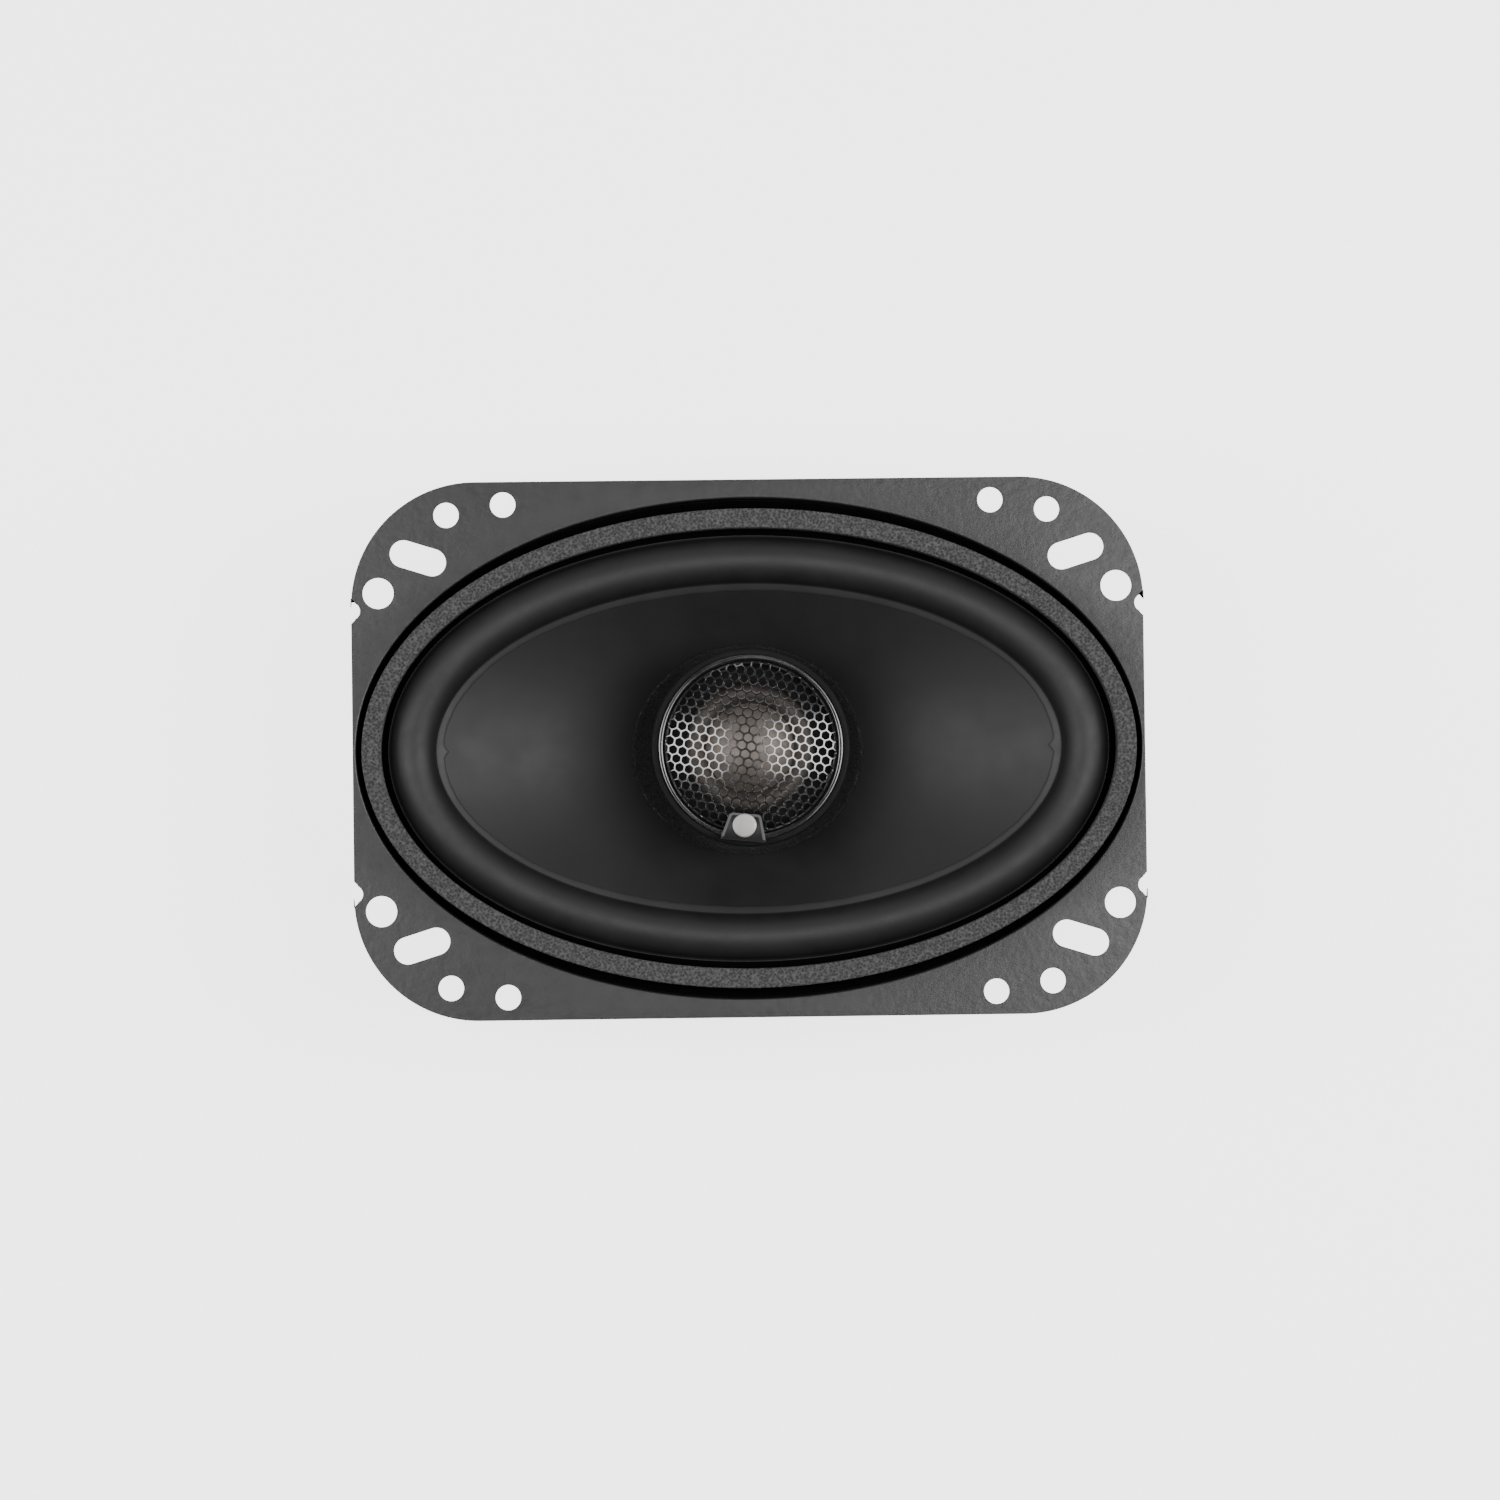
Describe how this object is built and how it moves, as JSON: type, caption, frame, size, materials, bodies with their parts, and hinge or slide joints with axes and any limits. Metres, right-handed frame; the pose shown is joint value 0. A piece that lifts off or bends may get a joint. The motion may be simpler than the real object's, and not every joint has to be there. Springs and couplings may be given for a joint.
{
  "type": "coaxial car speaker",
  "caption": "Oval two-way car speaker: pressed flange with fixing holes, cone in a half-roll surround, tweeter on a centre post, magnet behind.",
  "frame": {"origin": "centre of the flange's back face, on the cone's axis", "axes": "+Z out of the cone to the listener, +X along the flange's long side, +Y along its short side"},
  "size_m": [0.156, 0.1058, 0.0653],
  "materials": {
    "basket_steel": "semi-matt dark grey powder coat",
    "gasket_board": "grainy black foam board",
    "surround_cloth": "doped black cloth",
    "cone_paper": "black pulp with a fine satin coating",
    "felt": "black fuzzy felt",
    "former_metal": "satin",
    "copper_wire": "enamelled copper",
    "brass_fittings": "satin",
    "spider_cloth": "resin-dipped woven cloth",
    "plated_steel": "zinc plated",
    "ferrite": "matt ground ceramic",
    "boot_rubber": "matt moulded rubber",
    "rivet_steel": "zinc plated",
    "housing_plastic": "satin black moulding",
    "trim_metal": "bright machined edge",
    "grille_metal": "satin black pressed mesh",
    "dome_foil": "warm satin metal foil",
    "badge_plastic": "black moulding",
    "badge_metal": "plain silver disc",
    "fibre_board": "brown pressed fibre",
    "tinned_brass": "tinned",
    "capacitor_sleeve": "shrink sleeve",
    "tinsel_braid": "woven tinsel",
    "wire_red": "insulated lead",
    "wire_black": "insulated lead"
  },
  "bodies": {
    "frame": {"basket": "basket_steel", "front_gasket": "gasket_board", "surround": "surround_cloth", "spider": "spider_cloth", "top_plate": "plated_steel", "magnet": "ferrite", "pole_yoke": "plated_steel", "magnet_boot": "boot_rubber", "basket_rivets": "rivet_steel", "tweeter_post": "brass_fittings", "post_washer": "rivet_steel", "post_nut": "rivet_steel", "tweeter_housing": "housing_plastic", "tweeter_trim_ring": "trim_metal", "tweeter_grille": "grille_metal", "tweeter_cup": "plated_steel", "tweeter_magnet": "ferrite", "tweeter_pole_plate": "plated_steel", "tweeter_diaphragm_ring": "housing_plastic", "tweeter_surround": "surround_cloth", "badge_tab": "badge_plastic", "badge_disc": "badge_metal", "terminal_board": "fibre_board", "terminal_positive": "tinned_brass", "terminal_negative": "tinned_brass", "board_rivet": "rivet_steel", "crossover_capacitor": "capacitor_sleeve", "tinsel_lead_positive": "tinsel_braid", "tinsel_lead_negative": "tinsel_braid", "tweeter_lead_positive": "wire_red", "tweeter_lead_negative": "wire_black"},
    "cone_assembly": {"cone": "cone_paper", "felt_ring": "felt", "lead_eyelets": "brass_fittings", "voice_coil_former": "former_metal", "voice_coil_winding": "copper_wire"},
    "tweeter_diaphragm": {"tweeter_dome": "dome_foil", "tweeter_coil_former": "former_metal", "tweeter_coil_winding": "copper_wire"}
  },
  "joints": [
    {"name": "cone_travel", "type": "slide", "parent": "frame", "child": "cone_assembly", "axis": [0, 0, 1], "range_m": [-0.003, 0.003], "stiffness_N_per_m": 3000, "deforming": ["surround", "spider", "tinsel_lead_positive", "tinsel_lead_negative"]},
    {"name": "tweeter_travel", "type": "slide", "parent": "frame", "child": "tweeter_diaphragm", "axis": [0, 0, 1], "range_m": [-0.0003, 0.0003], "stiffness_N_per_m": 2000, "deforming": ["tweeter_surround"]}
  ]
}
